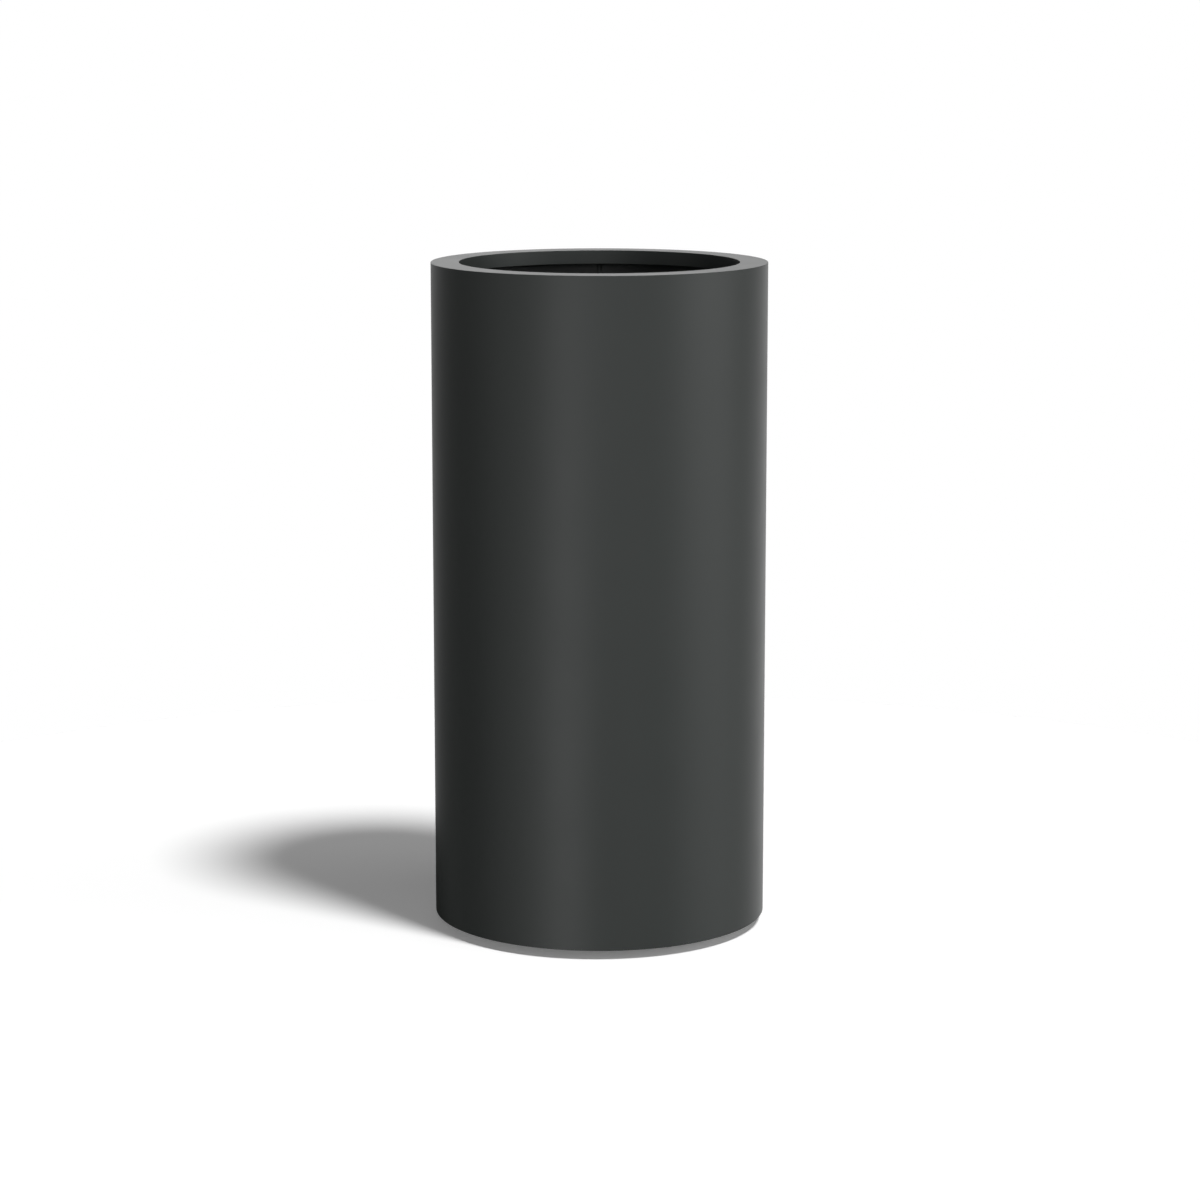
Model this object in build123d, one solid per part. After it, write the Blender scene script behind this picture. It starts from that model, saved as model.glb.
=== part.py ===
from build123d import *

import math
import os

# A tall round planter of welded aluminium sheet, standing on three levelling feet.
# Millimetres, +Z up. The origin is on the floor, at the centre of the base.
# The side towards -Y is the front, and the shell's ground seam is at +Y.

INCH = 25.4

# Vessel
outer_diameter = 18 * INCH
overall_height = 36 * INCH
ground_gap = 0.5 * INCH  # from the floor to the shell's bottom edge, feet at mid setting
sheet = 0.125 * INCH  # the shell, rim and return are all this gauge
rim_width = 1.5 * INCH  # flat top face, from the outside to the opening
lip_depth = 0.75 * INCH  # rim and return together, seen inside the opening
edge_ease = 0.5  # filed off every sheet edge that a hand can reach

# Floor of the vessel, with one drain hole in each bay between two ribs
floor_thickness = 0.125 * INCH
floor_recess = 1.5 * INCH  # from the shell's bottom edge up to the floor's underside
floor_fit = 0.25  # gap round the floor before welding
drain_diameter = 1 * INCH
drain_circle_radius = 4.5 * INCH
rib_thickness = 0.125 * INCH
rib_depth = 1 * INCH

# Feet
foot_count = 3
first_foot_angle = -60.0
foot_inset = 1.875 * INCH  # from the shell's inner wall to a foot's axis
foot_raise = 0.125 * INCH  # how far a foot screws in from its mid setting: two turns
boss_diameter = 1 * INCH
boss_chamfer = 1.0
rib_to_boss_fit = 0.25  # gap between a rib's coped end and its boss before welding

# Levelling screw, 3/8 inch with 16 threads to the inch. The shank has the thread's
# outer diameter, and the boss's bore is larger by the running clearance.
thread_diameter = 0.375 * INCH
thread_clearance = 0.05
shank_chamfer = 1.0
shank_tip_clearance = 0.6  # left above the shank when the foot is fully in
collar_across_flats = 0.5625 * INCH
collar_height = 4.8
collar_chamfer_angle = 30.0
collar_stop_clearance = 0.375  # left between collar and boss when the foot is fully in
neck_diameter = 5.0
neck_length = 1.4  # clear of the pad, so that the pad can tilt
ball_diameter = 7.2
ball_clearance = 0.05

# Pad, a nylon moulding that snaps over the ball, with a rubber sole in its underside
sole_diameter = 1 * INCH
sole_thickness = 2.0
sole_proud = 0.8
sole_fit = 0.1
sole_chamfer = 0.3
pad_diameter = 1.125 * INCH
pad_web = 1.4  # disc above the sole
pad_edge_chamfer = 0.5
socket_floor = 0.9  # nylon between the ball and the sole
socket_hold = 1.8  # height of the socket's lip above the ball's centre
socket_flare = 1.2  # how much wider the mouth is at the top of the tower than at the lip
tower_above_lip = 0.95
tower_diameter = 13.0
gusset_count = 8
gusset_thickness = 1.2
gusset_drop = 1.0  # from the tower's top to the gusset's top
gusset_toe = 1.5  # from the gusset's end to the pad's edge
snap_slot_count = 4
snap_slot_width = 0.8

# Levels and radii that follow
shell_outer_radius = outer_diameter / 2
shell_inner_radius = shell_outer_radius - sheet
opening_radius = shell_outer_radius - rim_width
ring_bottom = overall_height - sheet
floor_bottom = ground_gap + floor_recess
foot_circle_radius = shell_inner_radius - foot_inset
foot_step = 360 / foot_count
ball_radius = ball_diameter / 2
socket_radius = ball_radius + ball_clearance
ball_level = sole_thickness + socket_floor + socket_radius
lip_level = ball_level + socket_hold
tower_top = lip_level + tower_above_lip
collar_bottom = tower_top + neck_length
collar_top = collar_bottom + collar_height
boss_bottom = collar_top + foot_raise + collar_stop_clearance
shank_top = floor_bottom - foot_raise - shank_tip_clearance


def band(inner_radius, outer_radius, bottom, top):
    """A rectangle beside the Z axis, between two radii and two levels, ready to be turned."""
    middle = Pos((inner_radius + outer_radius) / 2, (bottom + top) / 2)
    return middle * Rectangle(outer_radius - inner_radius, top - bottom)


def turned(section):
    """The solid that a section beside the Z axis sweeps in one full turn."""
    return revolve(Plane.XZ * section, axis=Axis.Z)


def corners(section, end):
    """The corners of a section at its lowest level (end 0) or its highest (end -1)."""
    return section.vertices().group_by(Axis.Y)[end]


def shell():
    """Outer tube, rolled from one sheet. Its seam is ground flush, so it is one plain tube."""
    section = band(shell_inner_radius, shell_outer_radius, ground_gap, ring_bottom)
    return turned(chamfer(corners(section, 0), edge_ease))


def rim_ring():
    """Flat annulus laid on the shell's top edge and ground flush with its outside."""
    section = band(opening_radius, shell_outer_radius, ring_bottom, overall_height)
    return turned(chamfer(corners(section, -1), edge_ease))


def rim_return():
    """Rolled strip under the ring's inner edge, which stiffens the opening."""
    lip_bottom = overall_height - lip_depth
    section = band(opening_radius, opening_radius + sheet, lip_bottom, ring_bottom)
    return turned(chamfer(corners(section, 0), edge_ease))


def base_plate():
    """Floor of the vessel, welded inside the shell, with a drain hole between each two feet."""
    between_feet = first_foot_angle + foot_step / 2
    drains = PolarLocations(drain_circle_radius, foot_count, start_angle=between_feet)
    outline = Circle(shell_inner_radius - floor_fit) - drains * Circle(drain_diameter / 2)
    return extrude(Plane.XY.offset(floor_bottom) * outline, floor_thickness)


def base_rib():
    """Flat bar on edge under the floor, along +X from the centre to a foot's boss.

    Its inner end has two mitres, so that all the ribs close at the centre, and its outer end is
    coped to the boss.
    """
    half = rib_thickness / 2
    shoulder = half / math.tan(math.pi / foot_count)
    plan = Polygon(
        (0, 0),
        (shoulder, -half),
        (foot_circle_radius, -half),
        (foot_circle_radius, half),
        (shoulder, half),
        align=None,
    )
    bar = extrude(Plane.XY.offset(floor_bottom - rib_depth) * plan, rib_depth)
    cope = band(0, boss_diameter / 2 + rib_to_boss_fit, boss_bottom, floor_bottom)
    return bar - Pos(foot_circle_radius, 0) * turned(cope)


def foot_boss():
    """Threaded round bar, welded on end under the floor. The floor closes the top of its bore."""
    bore_radius = thread_diameter / 2 + thread_clearance
    section = band(bore_radius, boss_diameter / 2, boss_bottom, floor_bottom)
    return turned(chamfer(corners(section, 0), boss_chamfer))


def stud_outline():
    """Half the stud's outline without its collar: the ball, the neck, the shank and its tip."""
    neck_radius = neck_diameter / 2
    shank_radius = thread_diameter / 2
    neck_rise = math.degrees(math.acos(neck_radius / ball_radius))
    ball = CenterArc((0, ball_level), ball_radius, -90, 90 + neck_rise)
    rest = Polyline(
        ball @ 1,
        (neck_radius, collar_bottom),
        (shank_radius, collar_bottom),
        (shank_radius, shank_top - shank_chamfer),
        (shank_radius - shank_chamfer, shank_top),
        (0, shank_top),
        ball @ 0,
    )
    return make_face([ball, *rest.edges()])


def collar():
    """Hexagon that a spanner turns, its corners chamfered top and bottom."""
    flat_radius = collar_across_flats / 2
    corner_radius = flat_radius / math.cos(math.pi / 6)
    fall = (corner_radius - flat_radius) * math.tan(math.radians(collar_chamfer_angle))
    hexagon = RegularPolygon(flat_radius, 6, major_radius=False)
    prism = extrude(Plane.XY.offset(collar_bottom) * hexagon, collar_height)
    chamfered = Polygon(
        (0, collar_bottom),
        (flat_radius, collar_bottom),
        (corner_radius, collar_bottom + fall),
        (corner_radius, collar_top - fall),
        (flat_radius, collar_top),
        (0, collar_top),
        align=None,
    )
    return prism & turned(chamfered)


def foot_stud():
    """Levelling screw: a shank in the boss, a hexagon collar, and a ball in the pad's socket."""
    return turned(stud_outline()) + collar()


def pad_socket():
    """What the ball and the sole take out of the pad: a sphere, its flared mouth, and a recess."""
    lip_radius = math.sqrt(socket_radius**2 - socket_hold**2)
    mouth = Polygon(
        (0, ball_level),
        (lip_radius, ball_level),
        (lip_radius, lip_level),
        (lip_radius + socket_flare, tower_top),
        (0, tower_top),
        align=None,
    )
    recess = band(0, sole_diameter / 2 + sole_fit, sole_proud, sole_thickness)
    return Pos(0, 0, ball_level) * Sphere(socket_radius) + turned(mouth) + turned(recess)


def pad_gusset():
    """Thin web from the top of the tower down to the pad's edge, along +X."""
    web_top = sole_thickness + pad_web
    web = Polygon(
        (0, web_top),
        (pad_diameter / 2 - gusset_toe, web_top),
        (tower_diameter / 2, tower_top - gusset_drop),
        (0, tower_top - gusset_drop),
        align=None,
    )
    return extrude(Plane.XZ * web, gusset_thickness / 2, both=True)


def foot_pad():
    """Nylon pad: a disc, a tower with gussets round it, and a slotted snap socket in the tower."""
    web_top = sole_thickness + pad_web
    disc = band(0, pad_diameter / 2, sole_proud, web_top)
    edge = disc.vertices().group_by(Axis.X)[-1]
    tower = band(0, tower_diameter / 2, sole_proud, tower_top)
    body = turned(chamfer(edge, pad_edge_chamfer)) + turned(tower)
    gussets = PolarLocations(0, gusset_count) * pad_gusset()
    slot_reach = tower_diameter / 2 + gusset_thickness
    slot_height = tower_top - ball_level
    slot = Pos(slot_reach / 2, 0, ball_level + slot_height / 2)
    slot = slot * Box(slot_reach, snap_slot_width, slot_height)
    between_gussets = 180 / gusset_count
    slots = PolarLocations(0, snap_slot_count, start_angle=between_gussets) * slot
    return body + gussets - pad_socket() - slots


def foot_sole():
    """Rubber disc bonded into the pad's underside, on which the planter stands."""
    section = band(0, sole_diameter / 2, 0, sole_thickness)
    toe = corners(section, 0).sort_by(Axis.X)[-1]
    return turned(chamfer(toe, sole_chamfer))


# Pieces of the welded vessel, then what each foot repeats
pieces = {
    "shell": shell(),
    "rim_ring": rim_ring(),
    "rim_return": rim_return(),
    "base_plate": base_plate(),
}
foot_pieces = {
    "foot_boss": foot_boss(),
    "foot_stud": foot_stud(),
    "foot_pad": foot_pad(),
    "foot_sole": foot_sole(),
}
rib = base_rib()
for number in range(1, foot_count + 1):
    turn = Rot(0, 0, first_foot_angle + (number - 1) * foot_step)
    pieces[f"base_rib_{number}"] = turn * rib
    for name, piece in foot_pieces.items():
        pieces[f"{name}_{number}"] = turn * Pos(foot_circle_radius, 0) * piece

os.makedirs("parts", exist_ok=True)
for name, piece in pieces.items():
    export_step(piece, f"parts/{name}.step")
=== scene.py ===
import math

import bpy
import numpy as np
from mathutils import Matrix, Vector


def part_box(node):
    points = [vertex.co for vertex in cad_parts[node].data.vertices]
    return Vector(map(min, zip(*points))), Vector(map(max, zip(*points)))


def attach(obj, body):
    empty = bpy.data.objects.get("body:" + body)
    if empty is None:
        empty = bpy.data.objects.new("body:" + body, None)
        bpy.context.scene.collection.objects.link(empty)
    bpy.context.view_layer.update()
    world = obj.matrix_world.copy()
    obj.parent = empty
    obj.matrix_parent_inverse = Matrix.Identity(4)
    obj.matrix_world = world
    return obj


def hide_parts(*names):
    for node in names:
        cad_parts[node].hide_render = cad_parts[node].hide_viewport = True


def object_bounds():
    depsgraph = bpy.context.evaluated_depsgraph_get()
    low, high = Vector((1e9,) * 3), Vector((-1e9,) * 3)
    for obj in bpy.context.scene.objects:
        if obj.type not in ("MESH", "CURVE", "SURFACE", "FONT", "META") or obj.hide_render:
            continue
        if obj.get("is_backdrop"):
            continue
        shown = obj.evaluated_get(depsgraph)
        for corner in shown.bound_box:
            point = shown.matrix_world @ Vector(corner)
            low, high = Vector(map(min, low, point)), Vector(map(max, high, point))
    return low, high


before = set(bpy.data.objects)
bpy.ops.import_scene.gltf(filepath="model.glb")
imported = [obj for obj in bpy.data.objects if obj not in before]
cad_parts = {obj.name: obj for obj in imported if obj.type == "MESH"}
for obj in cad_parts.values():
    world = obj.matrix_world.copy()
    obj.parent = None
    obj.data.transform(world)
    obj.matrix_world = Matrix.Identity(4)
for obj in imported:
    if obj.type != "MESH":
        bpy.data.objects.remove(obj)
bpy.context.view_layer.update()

# Shell
# The planter's outside: one sheet of aluminium rolled into a tube, welded down one seam at the back
# and ground flush there. The whole vessel is powder coated after welding, in a satin dark grey.


class Field:
    """A value that varies over a surface: one output socket of a shader tree.

    Arithmetic adds Math nodes, and node() adds any other node.
    """

    def __init__(self, socket):
        self.socket = socket

    def node(self, kind, settings, sockets, output=0):
        """A node of that type: its settings first, then the values or links of its sockets.

        A setting called stops gives a ramp its stops, as pairs of a position and a grey level.
        Sockets go by name or by number.
        """
        made = self.socket.id_data.nodes.new("ShaderNode" + kind)
        for name, value in settings.items():
            if name == "stops":
                while len(made.color_ramp.elements) < len(value):
                    made.color_ramp.elements.new(1.0)
                for stop, (position, level) in zip(made.color_ramp.elements, value):
                    stop.position = position
                    stop.color = (level, level, level, 1)
            else:
                setattr(made, name, value)
        for name, value in sockets.items():
            if isinstance(value, Field):
                self.socket.id_data.links.new(value.socket, made.inputs[name])
            else:
                made.inputs[name].default_value = value
        return Field(made.outputs[output])

    def math(self, operation, *values):
        """A Math node."""
        return self.node("Math", {"operation": operation}, dict(enumerate(values)))

    def feed(self, shader, name):
        """Links this value to a shader's socket."""
        self.socket.id_data.links.new(self.socket, shader.inputs[name])

    def __add__(self, other):
        return self.math("ADD", self, other)

    def __sub__(self, other):
        return self.math("SUBTRACT", self, other)

    def __rsub__(self, other):
        return self.math("SUBTRACT", other, self)

    def __mul__(self, other):
        return self.math("MULTIPLY", self, other)

    def __truediv__(self, other):
        return self.math("DIVIDE", self, other)

    def __rtruediv__(self, other):
        return self.math("DIVIDE", other, self)

    __radd__ = __add__
    __rmul__ = __mul__


def new_finish(name, **constants):
    """A material, its Principled shader with those constants set, and the piece's own coordinates."""
    made = bpy.data.materials.new(name)
    made.use_nodes = True
    shader = made.node_tree.nodes["Principled BSDF"]
    for socket, value in constants.items():
        shader.inputs[socket].default_value = value
    place = made.node_tree.nodes.new("ShaderNodeTexCoord")
    return made, shader, Field(place.outputs["Object"])


def noise(place, size, detail=0.0):
    """Noise from 0 to 1 whose blotches are about that many metres across."""
    return place.node("TexNoise", {}, {"Vector": place, "Scale": 1 / size, "Detail": detail})


def between(share, low, high):
    """A colour that goes from low to high with a share from 0 to 1. Either end may vary itself."""
    low, high = (end if isinstance(end, Field) else (*end, 1) for end in (low, high))
    return share.node("Mix", {"data_type": "RGBA"}, {0: share, 6: low, 7: high}, output=2)


def relief(height):
    """A surface normal from a height in metres."""
    return height.node("Bump", {}, {"Strength": 1.0, "Distance": 1.0, "Height": height})


coat_low = (0.0262, 0.0301, 0.0285)
coat_high = (0.0292, 0.0333, 0.0316)
cloud_size, cloud_detail = 0.16, 3.0
coat_roughness, roughness_spread = 0.38, 0.05
flow_size, flow_detail = 0.05, 2.0
peel_size, peel_detail, peel_height = 0.0042, 1.0, 14e-6
grain_size, grain_height = 0.0011, 2.5e-6
coat, shader, place = new_finish("powder_coat", IOR=1.5)
cloud = noise(place, cloud_size, cloud_detail)
between(cloud, coat_low, coat_high).feed(shader, "Base Color")
flow = noise(place, flow_size, flow_detail)
(coat_roughness + roughness_spread * (flow - 0.5)).feed(shader, "Roughness")
peel = noise(place, peel_size, peel_detail)
grain = noise(place, grain_size)
relief(peel * peel_height + grain * grain_height).feed(shader, "Normal")

up = np.array([0, 0, 1.0])


def ray(angle):
    """The level unit vector at an angle, (cos a, sin a, 0), or one for each of an array of angles."""
    return np.stack([np.cos(angle), np.sin(angle), 0 * angle], -1)


def outline(corners, closed=True, steps=5):
    """A section beside the Z axis, as points and the normals of the runs that meet at each of them.

    corners is a list of (radius, height, rounding), with the solid on its left. A rounded corner is an
    arc that touches both sides: its centre lies back from the corner by the rounding, times the sum of
    the two sides' normals, over one plus their dot product.
    """
    corners = np.array(corners, float)
    side = np.roll(corners[:, :2], -1, 0) - corners[:, :2]
    after = np.stack([side[:, 1], -side[:, 0]], 1) / np.linalg.norm(side, axis=1)[:, None]
    before = np.roll(after, 1, 0)
    if not closed:
        before[0], after[-1] = after[0], before[-1]
    points, arriving, leaving = [], [], []
    for corner, first, last in zip(corners, before, after):
        bend = math.atan2(first[0] * last[1] - first[1] * last[0], first @ last)
        if corner[2] == 0 or abs(bend) < 1e-6:
            points.append(corner[None, :2])
            arriving.append(first[None])
            leaving.append(last[None])
            continue
        turn = (bend * np.linspace(0, 1, steps + 1))[:, None]
        normal = np.cos(turn) * first + np.sin(turn) * np.array([-first[1], first[0]])
        reach = math.copysign(corner[2], bend)
        points.append(corner[:2] - reach * (first + last) / (1 + first @ last) + reach * normal)
        arriving.append(normal)
        leaving.append(normal)
    return np.concatenate(points), np.concatenate(arriving), np.concatenate(leaving)


def quads_between(row, next_row):
    """The faces between rows of point numbers that close round and the rows that follow them."""
    return np.stack([row, np.roll(row, -1, 1), np.roll(next_row, -1, 1), next_row], -1)


def new_piece(name, points, faces, finish, normals=None, sharp=None):
    """A mesh object at the origin, from an array of points and arrays of faces of one corner count.

    It is shaded smooth, with the given normal at each corner of each face, or with edges sharper than
    that many degrees kept sharp.
    """
    mesh = bpy.data.meshes.new(name)
    mesh.from_pydata(points.tolist(), [], [face for group in faces for face in group.tolist()])
    mesh.shade_smooth()
    if normals is None:
        mesh.set_sharp_from_angle(angle=math.radians(sharp))
    else:
        mesh.normals_split_custom_set(normals.tolist())
    mesh.materials.append(finish)
    made = bpy.data.objects.new(name, mesh)
    bpy.context.scene.collection.objects.link(made)
    return made


def turned(name, section, columns, finish, centre=0, swell=None):
    """The surface that a section sweeps round a vertical axis through centre.

    A point (radius, height) goes to (radius cos a, radius sin a, height) at every angle a, and its
    normal turns with it. swell gives a share of the radius to add at each angle, and that share's
    slope. A section that starts and ends on the axis is closed there in one point at each end.
    """
    profile, arriving, leaving = section
    closed = profile[0, 0] > 0
    angle = np.arange(columns) * 2 * np.pi / columns
    share, slope = swell(angle) if swell else (0 * angle, 0 * angle)
    out = ray(angle)
    along = np.cross(up, out)

    def spread(normal):
        """That run's normal at every angle, tilted against the swell's slope."""
        across = normal[:, 0, None, None] * (out - slope[:, None] * along)
        return across + normal[:, 1, None, None] * up

    widened = (1 + share)[:, None] * out
    grid = profile[:, 0, None, None] * widened + profile[:, 1, None, None] * up
    rows = np.arange(len(profile)) if closed else np.arange(len(profile) - 1)
    next_rows = (rows + 1) % len(profile)
    number = np.arange(len(profile) * columns).reshape(len(profile), columns)
    quads = quads_between(number[rows], number[next_rows])
    start, end = spread(leaving)[rows], spread(arriving)[next_rows]
    normals = np.stack([start, np.roll(start, -1, 1), np.roll(end, -1, 1), end], 2)
    points = grid.reshape(-1, 3) + centre
    if closed:
        return new_piece(name, points, [quads.reshape(-1, 4)], finish, normals.reshape(-1, 3))
    first, last = quads[0][:, [0, 2, 3]], quads[-1][:, [0, 1, 2]]
    first[:, 0], last[:, 2] = number[0, 0], number[-1, 0]
    corners = [normals[0][:, [0, 2, 3]], normals[1:-1], normals[-1][:, [0, 1, 2]]]
    faces = [first, quads[1:-1].reshape(-1, 4), last]
    used, renumbered = np.unique(np.concatenate([f.ravel() for f in faces]), return_inverse=True)
    ends = np.cumsum([f.size for f in faces])[:-1]
    faces = [new.reshape(f.shape) for f, new in zip(faces, np.split(renumbered, ends))]
    flat = np.concatenate([c.reshape(-1, 3) for c in corners])
    return new_piece(name, points[used], faces, finish, flat)


shell_low, shell_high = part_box("shell")
ring_low, ring_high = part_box("rim_ring")
radius = shell_high.x
sheet = ring_high.z - ring_low.z
edge_round = 0.0005
shell_columns = 720
seam_angle = math.pi / 2
seam_width, seam_dip = 0.013, 0.00012


def ground_flat(angle):
    """How the tube falls in along its ground seam: a bell curve across the seam, and its slope."""
    away = radius * (np.mod(angle - seam_angle + np.pi, 2 * np.pi) - np.pi) / seam_width
    share = -seam_dip / radius * np.exp(-(away**2))
    return share, -2 * away * radius / seam_width * share


section = outline(
    [
        (radius - sheet, shell_low.z, edge_round),
        (radius, shell_low.z, edge_round),
        (radius, shell_high.z, 0),
        (radius - sheet, shell_high.z, 0),
    ]
)
shell = turned("coated_shell", section, shell_columns, coat, swell=ground_flat)
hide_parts("shell")
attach(shell, "vessel")

# Rim ring
# The wide flat top: an annulus cut from the same sheet, laid on the shell's edge and welded round the
# outside, where it is ground flush. Its two top edges are eased by hand with a file.

return_low, return_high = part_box("rim_return")
opening = return_high.x - sheet
section = outline(
    [
        (opening, ring_low.z, 0),
        (radius, ring_low.z, 0),
        (radius, ring_high.z, edge_round),
        (opening, ring_high.z, edge_round),
    ]
)
rim_ring = turned("coated_rim_ring", section, shell_columns, coat, swell=ground_flat)
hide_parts("rim_ring")
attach(rim_ring, "vessel")

# Rim return
# The lip inside the opening: a strip rolled to the opening's size, welded under the ring's inner edge
# and ground flush with it. It stiffens the rim and hides the edge of the soil.

section = outline(
    [
        (opening, return_low.z, edge_round),
        (opening + sheet, return_low.z, edge_round),
        (opening + sheet, return_high.z, 0),
        (opening, return_high.z, 0),
    ]
)
rim_return = turned("coated_rim_return", section, shell_columns, coat)
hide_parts("rim_return")
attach(rim_return, "vessel")

# Seam weld
# The tube's seam, welded from outside and from inside. Outside it is ground flush, and inside the
# bead stays as welded, under the same coat, from the bottom edge up to the ring.

seam_bead_width, seam_bead_height, seam_stop = 0.0032, 0.0011, 0.0012
ripple_pitch, ripple_depth, ripple_lead = 0.0025, 0.10, 0.4
points_to_ripple, points_across = 5, 7
corner_flatness, corner_root = 0.6, 0.12
raised_flatness, raised_root = 0.15, 0.3
end_share = 0.12


def weld_run(corner, first, second, raised=False, ends=True):
    """One run of weld bead, as points, quads and end faces.

    corner is the line that the bead follows, and first and second are its reach along each of the two
    walls, for the whole line or for each point of it. The section is
    corner + k (cos t first + sin t second), with t over a quarter turn in a corner, or over a half
    turn where the bead stands raised on one wall, and it is closed a little way inside the metal. k
    lies between that of a flat and that of a round bead, and rises and falls once in each ripple pitch
    along the run. The ripples lead in the middle of the bead, so they are crescents. At the ends of a
    run the bead runs out.
    """
    first, second = np.broadcast_to(first, corner.shape), np.broadcast_to(second, corner.shape)
    step = np.linalg.norm(np.diff(corner, axis=0), axis=1)
    along = np.concatenate([[0], np.cumsum(step)])[:, None]
    turn = (np.pi if raised else np.pi / 2) * np.linspace(0, 1, points_across)
    flatness = raised_flatness if raised else corner_flatness
    share = (np.abs(np.cos(turn)) + np.abs(np.sin(turn))) ** -flatness
    middle = np.sin(np.pi * turn / turn[-1])
    phase = along / ripple_pitch - ripple_lead * middle
    share = share * (1 - ripple_depth * np.abs(np.cos(np.pi * phase)) * middle)
    if ends:
        rest = np.minimum(along, along[-1] - along) / np.linalg.norm(first[0])
        share = share * (end_share + (1 - end_share) * np.sqrt(np.clip(rest, 0, 1)))
    section = np.cos(turn)[:, None] * first[:, None] + np.sin(turn)[:, None] * second[:, None]
    points = corner[:, None] + share[..., None] * section
    root = corner - (raised_root * second if raised else corner_root * (first + second))
    points = np.concatenate([points, root[:, None]], 1)
    count, around = points.shape[:2]
    number = np.arange(count * around).reshape(count, around)
    row, next_row = (number[:-1], number[1:]) if ends else (number, np.roll(number, -1, 0))
    quads = quads_between(row, next_row)
    caps = np.stack([number[0, ::-1], number[-1]]) if ends else np.zeros((0, around), int)
    if np.dot(np.cross(corner[1] - corner[0], first[0]), second[0]) < 0:
        quads, caps = quads[..., ::-1], caps[:, ::-1]
    return points.reshape(-1, 3), quads.reshape(-1, 4), caps


def welded(name, runs, finish):
    """One piece from several runs of weld bead."""
    offset = np.cumsum([0] + [len(points) for points, _, _ in runs])
    points = np.concatenate([points for points, _, _ in runs])
    quads = np.concatenate([quads + start for (_, quads, _), start in zip(runs, offset)])
    caps = np.concatenate([caps + start for (_, _, caps), start in zip(runs, offset)])
    return new_piece(name, points, [quads, caps], finish, sharp=70)


def straight(start, end):
    """Points along a straight line, a few to each ripple."""
    start, end = np.array(start, float), np.array(end, float)
    count = int(np.linalg.norm(end - start) / ripple_pitch * points_to_ripple) + 1
    return start + np.linspace(0, 1, count)[:, None] * (end - start)


wall = radius - sheet
plate_low, plate_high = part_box("base_plate")
runs = []
for low, high in ((shell_low.z, plate_low.z), (plate_high.z, shell_high.z)):
    line = straight((0, wall, low + seam_stop), (0, wall, high - seam_stop))
    runs.append(weld_run(line, (seam_bead_width, 0, 0), (0, -seam_bead_height, 0), raised=True))
seam_weld = welded("seam_weld", runs, coat)
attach(seam_weld, "vessel")

# Rim stitch welds
# Short welds under the ring, out of sight: one row in the corner with the shell and one in the corner
# with the return. On the outside the joints are welded all the way and ground flush.

stitch_length, stitch_count = 0.028, 12
stitch_middles = (np.arange(stitch_count) + 0.5) * 2 * np.pi / stitch_count
rim_leg = 0.003


def level_run(run_radius, level, outward, upward, middle=0, length=0, centre=0, fine=4):
    """A run of weld in a level circle: its reach is outward along the radius and upward along Z.

    It is that long, and centred on the angle middle. With no length it goes all the way round, with
    as many points to a ripple as fine says.
    """
    if length:
        count = int(length / ripple_pitch * points_to_ripple) + 1
        angle = middle + np.linspace(-0.5, 0.5, count) * length / run_radius
    else:
        count = int(2 * np.pi * run_radius / ripple_pitch) * fine
        angle = np.arange(count) * 2 * np.pi / count
    out = ray(angle)
    corner = centre + run_radius * out + level * up
    return weld_run(corner, outward * out, upward * up, ends=bool(length))


runs = []
for middle in stitch_middles:
    runs.append(level_run(wall, ring_low.z, -rim_leg, -rim_leg, middle, stitch_length))
    runs.append(level_run(opening + sheet, ring_low.z, rim_leg, -rim_leg, middle, stitch_length))
rim_welds = welded("rim_stitch_welds", runs, coat)
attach(rim_welds, "vessel")

# Base plate
# The floor of the planter: a laser-cut disc of the same sheet, with one drain hole between each two
# feet. The CAD piece is kept, and it gets the coat.


def keep(names, finish):
    """Keeps those CAD pieces and gives them a finish."""
    for name in names:
        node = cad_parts[name]
        node.data.materials.clear()
        node.data.materials.append(finish)


keep(["base_plate"], coat)

# Base plate welds
# Above, the plate is welded to the shell all the way round, so that it holds water off the joint.
# Below, stitches hold it while that weld is made.

plate_leg = 0.0036
runs = [level_run(wall, plate_high.z, -plate_leg, plate_leg)]
for middle in stitch_middles:
    runs.append(level_run(wall, plate_low.z, -rim_leg, -rim_leg, middle, stitch_length))
plate_welds = welded("base_plate_welds", runs, coat)
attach(plate_welds, "vessel")

# Ribs
# Three flat bars on edge under the base plate, mitred where they meet at the centre and coped to the
# bosses. The CAD pieces are kept, and they get the coat.

keep([f"base_rib_{foot}" for foot in (1, 2, 3)], coat)

# Bosses
# Round aluminium bar, bored and tapped for the levelling screws and welded on end under the plate. The
# mouth of the thread is countersunk, and the coat covers the outside.

feet = {foot: math.radians(120 * foot - 180) for foot in (1, 2, 3)}
foot_circle = 0.1778
boss_low, boss_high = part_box("foot_boss_1")
boss_radius, boss_chamfer, boss_round = 0.0127, 0.001, 0.0003
bore_radius, countersink, countersink_round = 0.0048125, 0.0006, 0.0002
section = outline(
    [
        (bore_radius, boss_high.z, 0),
        (bore_radius, boss_low.z + countersink, 0),
        (bore_radius + countersink, boss_low.z, countersink_round),
        (boss_radius - boss_chamfer, boss_low.z, boss_round),
        (boss_radius, boss_low.z + boss_chamfer, boss_round),
        (boss_radius, boss_high.z, 0),
    ]
)
for foot, angle in feet.items():
    boss = turned(f"coated_boss_{foot}", section, 72, coat, foot_circle * ray(angle))
    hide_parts(f"foot_boss_{foot}")
    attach(boss, "vessel")

# Rib and boss welds
# Fillets round each boss, short ones along each rib, first on one side and then on the other, and
# upright ones where the ribs meet each other and the bosses.

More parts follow.
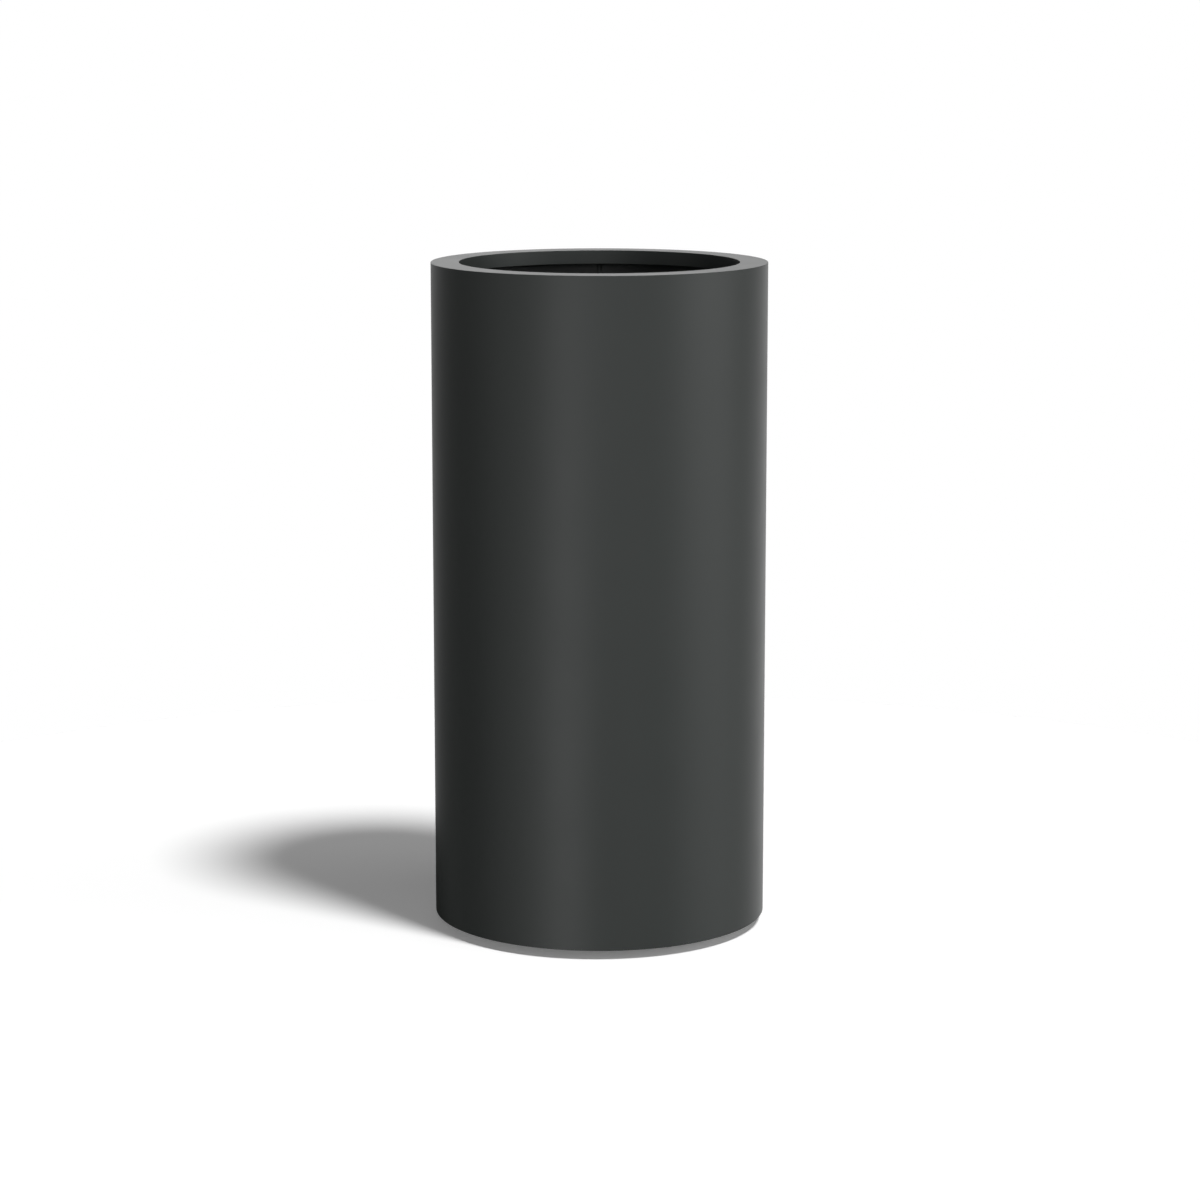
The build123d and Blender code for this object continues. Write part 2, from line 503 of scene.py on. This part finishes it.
rib_half, rib_leg = 0.0015875, 0.003
rib_stitches = ((0.035, 1), (0.065, -1), (0.095, 1), (0.125, -1), (0.150, 1))
half_stitch = 0.011
stop_below, stop_above = 0.001, 0.002
rib_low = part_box("base_rib_3")[0]
upright = straight((rib_low.z + stop_below) * up, (plate_low.z - stop_above) * up)
for foot, angle in feet.items():
    along = ray(angle)
    across = np.cross(up, along)
    centre = foot_circle * along
    runs = [level_run(boss_radius, plate_low.z, rib_leg, -rib_leg, centre=centre, fine=5)]
    for middle, side in rib_stitches:
        line = straight((middle - half_stitch) * along, (middle + half_stitch) * along)
        line = line + side * rib_half * across + plate_low.z * up
        runs.append(weld_run(line, side * rib_leg * across, -rib_leg * up))
    for side in (1, -1):
        reach = foot_circle - math.sqrt(boss_radius**2 - rib_half**2)
        line = upright + reach * along + side * rib_half * across
        runs.append(weld_run(line, -rib_leg * along, side * rib_leg * across))
    line = upright + rib_half / math.sin(math.pi / 3) * ray(angle + math.pi / 3)
    runs.append(weld_run(line, rib_leg * along, rib_leg * ray(angle + 2 * math.pi / 3)))
    welds = welded(f"rib_welds_{foot}", runs, coat)
    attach(welds, "vessel")

# Levelling studs
# Turned steel, zinc plated: a rolled thread in the boss, a hexagon to turn it by, and a ball end that
# is pressed into the pad. Sizes in millimetres from the floor up.

zinc_low, zinc_high = (0.50, 0.51, 0.53), (0.64, 0.65, 0.66)
zinc_roughness, spangle_spread, spangle_height = 0.27, 0.14, 3e-6
zinc, shader, place = new_finish("zinc_steel", Metallic=1.0)
patches = noise(place, 0.004, 2.0)
between(patches, zinc_low, zinc_high).feed(shader, "Base Color")
spangle = noise(place, 0.0009, 1.0)
(zinc_roughness + spangle_spread * spangle).feed(shader, "Roughness")
relief(spangle * spangle_height).feed(shader, "Normal")

ball_centre, ball_radius, ball_rows = 6.55, 3.6, 18
neck_radius, fillet, fillet_waist = 2.5, 0.35, 0.1
collar_bottom, collar_top, half_flats = 10.7, 15.5, 7.14375
cone, face_inset, chamfer_rows = math.radians(30), 0.35, (0, 0.15, 0.35, 0.65, 1.0)
shank_top, tip_chamfer, tip_under, shank_foot = 47.025, 1.0, 0.06, 0.4
thread_radius, thread_depth, thread_under = 4.7625, 0.97, 0.05
pitch, rows_to_pitch, crest_flat, root_flat = 1.5875, 12, 1 / 8, 1 / 4


def stud_surface(columns=48):
    """A levelling stud about its own axis, as a radius for each turn and height, closed at two poles.

    Ball and neck are round. In the collar the radius is the smaller of a hexagon's, half its flats over
    the cosine of the angle from the nearest flat's middle, and of the chamfer cone's. In the shank it
    falls from crest to root with the phase height / pitch - turn, flat at both, and the thread runs
    out at each end.
    """
    turn = np.arange(columns) * 2 * np.pi / columns
    rise = np.linspace(-np.pi / 2, np.arccos(neck_radius / ball_radius), ball_rows)[1:]
    ball = [(ball_radius * np.cos(a), ball_centre + ball_radius * np.sin(a)) for a in rise]
    neck = [
        (neck_radius, collar_bottom - fillet),
        (neck_radius + fillet_waist, collar_bottom - fillet_waist),
        (neck_radius + fillet, collar_bottom),
    ]
    round_part = np.array(ball + neck)
    flats = half_flats / np.cos(np.mod(turn, np.pi / 3) - np.pi / 6)
    fall = (half_flats / np.cos(np.pi / 6) - half_flats) * np.tan(cone)
    edge = fall * np.array(chamfer_rows)
    collar_height = np.concatenate([collar_bottom + edge, collar_top - edge[::-1]])
    off_face = np.minimum(collar_height - collar_bottom, collar_top - collar_height)
    collar = np.minimum(flats, half_flats - face_inset + off_face[:, None] / np.tan(cone))
    height = np.arange(collar_top, shank_top - tip_chamfer, pitch / rows_to_pitch)
    phase = np.mod(height[:, None] / pitch - turn / (2 * np.pi), 1)
    slant = 1 - root_flat - crest_flat
    crest = np.clip((1 - root_flat - np.abs(2 * phase - 1)) / slant, 0, 1)
    end = np.clip(np.minimum(height - collar_top, shank_top - height) / pitch, 0, 1)[:, None]
    shank = thread_radius - thread_under - thread_depth * (1 - crest) * end
    tip_height = np.array([shank_top - tip_chamfer, shank_top])
    tip = np.array([thread_radius - tip_under, thread_radius - tip_chamfer])
    reach = np.concatenate(
        [
            np.repeat(round_part[:, :1], columns, 1),
            collar,
            np.full((1, columns), thread_radius + shank_foot),
            shank,
            np.repeat(tip[:, None], columns, 1),
        ]
    )
    level = np.concatenate([round_part[:, 1], collar_height, [collar_top], height, tip_height])
    grid = reach[..., None] * ray(turn) + level[:, None, None] * up
    number = np.arange(reach.size).reshape(reach.shape)
    quads = quads_between(number[:-1], number[1:]).reshape(-1, 4)
    poles = np.array([[0, 0, ball_centre - ball_radius], [0, 0, shank_top]])
    below, above = np.full(columns, reach.size), np.full(columns, reach.size + 1)
    bottom = np.stack([below, np.roll(number[0], -1), number[0]], 1)
    top = np.stack([above, number[-1], np.roll(number[-1], -1)], 1)
    points = np.concatenate([grid.reshape(-1, 3), poles]) * 0.001
    return points, quads, np.concatenate([bottom, top])


def carried_to(points, angle):
    """Points turned to a foot's direction and moved out to its place."""
    along = ray(angle)
    return points @ np.array([along, np.cross(up, along), up]) + foot_circle * along


points, quads, fans = stud_surface()
for foot, angle in feet.items():
    placed = carried_to(points, angle)
    stud = new_piece(f"threaded_stud_{foot}", placed, [quads, fans], zinc, sharp=40)
    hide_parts(f"foot_stud_{foot}")
    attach(stud, f"screw_{foot}")

# Foot pads
# Black nylon mouldings with a slotted snap socket for the ball and thin gussets round it. The CAD
# pieces are kept, and they get the fine grain that the mould leaves.

nylon_low, nylon_high = (0.0150, 0.0150, 0.0155), (0.0210, 0.0210, 0.0215)
nylon_roughness, mould_spread, mould_height = 0.46, 0.12, 12e-6
nylon, shader, place = new_finish("nylon", IOR=1.53)
shade = noise(place, 0.012, 2.0)
between(shade, nylon_low, nylon_high).feed(shader, "Base Color")
mould = noise(place, 0.0007, 1.0)
(nylon_roughness + mould_spread * mould).feed(shader, "Roughness")
relief(mould * mould_height).feed(shader, "Normal")
keep([f"foot_pad_{foot}" for foot in (1, 2, 3)], nylon)

# Foot soles
# Black rubber discs bonded into the pads, with rings moulded into the tread so that they grip.

rubber_low, rubber_high = (0.0130, 0.0130, 0.0130), (0.0260, 0.0255, 0.0250)
rubber_roughness, dust_spread, rubber_height = 0.72, 0.16, 15e-6
rubber, shader, place = new_finish("sole_rubber")
dust = noise(place, 0.005, 3.0)
between(dust, rubber_low, rubber_high).feed(shader, "Base Color")
(rubber_roughness + dust_spread * dust).feed(shader, "Roughness")
relief(noise(place, 0.0005) * rubber_height).feed(shader, "Normal")

sole_radius, sole_thickness, sole_chamfer, sole_round = 0.0127, 0.002, 0.0003, 0.0001
ring_radii, ring_depth, ring_width = (0.003, 0.0055, 0.008, 0.0105), 0.0004, 0.0007
tread = [(0, 0, 0)]
for ring in ring_radii:
    tread += [
        (ring - ring_width / 2, 0, sole_round),
        (ring - ring_width / 4, ring_depth, sole_round),
        (ring + ring_width / 4, ring_depth, sole_round),
        (ring + ring_width / 2, 0, sole_round),
    ]
tread += [
    (sole_radius - sole_chamfer, 0, sole_round),
    (sole_radius, sole_chamfer, sole_round),
    (sole_radius, sole_thickness, sole_round),
    (0, sole_thickness, 0),
]
section = outline(tread, closed=False, steps=2)
for foot, angle in feet.items():
    sole = turned(f"ringed_sole_{foot}", section, 64, rubber, foot_circle * ray(angle))
    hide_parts(f"foot_sole_{foot}")
    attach(sole, f"pad_{foot}")

# Studio floor
# A plain pale round floor, wider than the shadow, which the camera sees white. It is clear from below
# and to light from below, so that the underside can be seen. The coat's gloss sees it only where the
# cast shadow lies, where it is painted dark as a painted shadow in the reflection, and elsewhere sees
# the studio's light through it.

floor_radius, floor_columns = 1.5, 256
# The last colour here is a painted shadow: the dark floor that the coat's gloss sees where the cast
# shadow lies.
floor_pale, floor_white, gloss_painted_shadow_colour = (0.6, 0.6, 0.6), (1.0, 1.0, 1.0), (0.1, 0.1, 0.1)
floor_lift = 0.136
angle = np.arange(floor_columns) * 2 * np.pi / floor_columns
mesh = bpy.data.meshes.new("studio_floor")
mesh.from_pydata((floor_radius * ray(angle)).tolist(), [], [list(range(floor_columns))])
studio_floor = bpy.data.objects.new("studio_floor", mesh)
bpy.context.scene.collection.objects.link(studio_floor)
floor_finish = bpy.data.materials.new("studio_floor")
floor_finish.use_nodes = True
tree = floor_finish.node_tree
tree.nodes.clear()
paths = tree.nodes.new("ShaderNodeLightPath")
to_camera = Field(paths.outputs["Is Camera Ray"])
in_gloss = Field(paths.outputs["Is Glossy Ray"])
to_light = Field(paths.outputs["Is Shadow Ray"])
underneath = to_camera.node("NewGeometry", {}, {}, output="Backfacing")
# In the gloss the floor takes the painted shadow's dark colour, which the coat reflects where the cast
# shadow lies.
pale = between(in_gloss, between(to_camera, floor_pale, floor_white), gloss_painted_shadow_colour)
matt = to_camera.node("BsdfDiffuse", {}, {"Color": pale})
lift = to_camera.node("Emission", {}, {"Strength": to_camera * floor_lift})
seen = to_camera.node("AddShader", {}, {0: matt, 1: lift})
clear = to_camera.node("BsdfTransparent", {}, {})


def eased(value, start, end, full=1.0):
    """A value that goes smoothly from 0 at start to full at end."""
    limits = {"Value": value, "From Min": start, "From Max": end, "To Max": full}
    return value.node("MapRange", {"interpolation_type": "SMOOTHSTEP"}, limits)


# Where the cast shadow lies, in metres behind the planter as seen from the key lamp, and to either
# side of that line. Each pair goes from no shadow to full shadow.
key_azimuth = math.radians(46)
shadow_near, shadow_far, shadow_side = (0.08, 0.14), (0.75, 0.6), (0.25, 0.21)
place = Field(tree.nodes.new("ShaderNodeTexCoord").outputs["Object"])
east = place.node("SeparateXYZ", {}, {0: place}, output="X")
north = place.node("SeparateXYZ", {}, {0: place}, output="Y")
behind = north * math.cos(key_azimuth) - east * math.sin(key_azimuth)
aside = north * math.sin(key_azimuth) + east * math.cos(key_azimuth)
in_line = eased(aside * aside, shadow_side[0] ** 2, shadow_side[1] ** 2)
in_shadow = in_line * eased(behind, *shadow_near) * eased(behind, *shadow_far)
through = to_camera * underneath + (in_gloss + to_light) * (1.0 - in_shadow)
surface = to_camera.node("MixShader", {}, {0: through, 1: seen, 2: clear})
surface.feed(tree.nodes.new("ShaderNodeOutputMaterial"), "Surface")
mesh.materials.append(floor_finish)
studio_floor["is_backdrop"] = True

# Light
# One soft key lamp, high on the right in front, and a pale studio with two bands of soft light round
# the planter, just below and just above the horizon. The bands are what the satin coat reflects, and
# the camera itself sees plain white behind.

key_elevation, key_spread, key_strength = math.radians(62.5), math.radians(11), 2.62
lamp = bpy.data.lights.new("key", "SUN")
lamp.energy = key_strength
lamp.angle = key_spread
key = bpy.data.objects.new("key", lamp)
bpy.context.scene.collection.objects.link(key)
toward_key = Vector(
    (
        math.sin(key_azimuth) * math.cos(key_elevation),
        -math.cos(key_azimuth) * math.cos(key_elevation),
        math.sin(key_elevation),
    )
)
key.rotation_mode = "QUATERNION"
key.rotation_quaternion = toward_key.to_track_quat("Z", "Y")

# How bright each band is all the way round, every 22.5 degrees from the back through the left, the
# front and the right. A band fades as a bell curve above and below its middle, and the studio is
# pale again far below. A ramp holds no more than 1, so its levels are shares of the brightest.
low_band = [
    *(0.9, 0.22, 0.08, 0.04, 0.0, 0.31, 0.73, 2.3, 0.0),
    *(0.5, 0.03, 0.45, 0.61, 0.38, 0.65, 0.99, 0.9),
]
high_band = [
    *(1.5, 1.15, 0.55, 0.1, 0.54, 0.69, 0.0, 0.01, 2.25),
    *(0.99, 1.21, 3.18, 2.57, 0.04, 0.0, 0.23, 1.5),
]
band_height, band_spread, brightest = math.radians(12), math.radians(14), 4.0
beneath, beneath_from, beneath_to = 0.8, -0.7, -1.1
world = bpy.data.worlds.new("studio")
bpy.context.scene.world = world
world.use_nodes = True
tree = world.node_tree
tree.nodes.clear()
toward = Field(tree.nodes.new("ShaderNodeTexCoord").outputs["Generated"])
east = toward.node("SeparateXYZ", {}, {0: toward}, output="X")
north = toward.node("SeparateXYZ", {}, {0: toward}, output="Y")
height = toward.node("SeparateXYZ", {}, {0: toward}, output="Z")
rise = height.math("ARCSINE", height)
round_share = east.math("ARCTAN2", east, 0.0 - north) * (0.5 / math.pi) + 0.5
studio = eased(rise, beneath_from, beneath_to, beneath)
for middle, levels in ((-band_height, low_band), (band_height, high_band)):
    stops = [(number / (len(levels) - 1), level / brightest) for number, level in enumerate(levels)]
    band = round_share.node("ValToRGB", {"stops": stops}, {0: round_share}) * brightest
    off = (rise - middle) / band_spread
    studio = studio + band * off.math("EXPONENT", off * off * -1.0)
to_camera = Field(tree.nodes.new("ShaderNodeLightPath").outputs["Is Camera Ray"])
strength = to_camera + (1.0 - to_camera) * studio
background = to_camera.node("Background", {}, {"Color": (1, 1, 1, 1), "Strength": strength})
background.feed(tree.nodes.new("ShaderNodeOutputWorld"), "Surface")

# Camera
# It stands well back from the front of the planter, a little above the rim, and looks slightly down.

bpy.context.scene.view_settings.view_transform = "Standard"
camera_back, camera_height, camera_aside = 4.662, 1.2958, 0.0008
camera_down = math.radians(10.305)
lens = bpy.data.cameras.new("camera")
lens.lens = 103.08
lens.sensor_width = 36.0
camera = bpy.data.objects.new("camera", lens)
camera.location = (camera_aside, -camera_back, camera_height)
camera.rotation_euler = (math.pi / 2 - camera_down, 0, 0)
bpy.context.scene.collection.objects.link(camera)
bpy.context.scene.camera = camera

low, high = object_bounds()
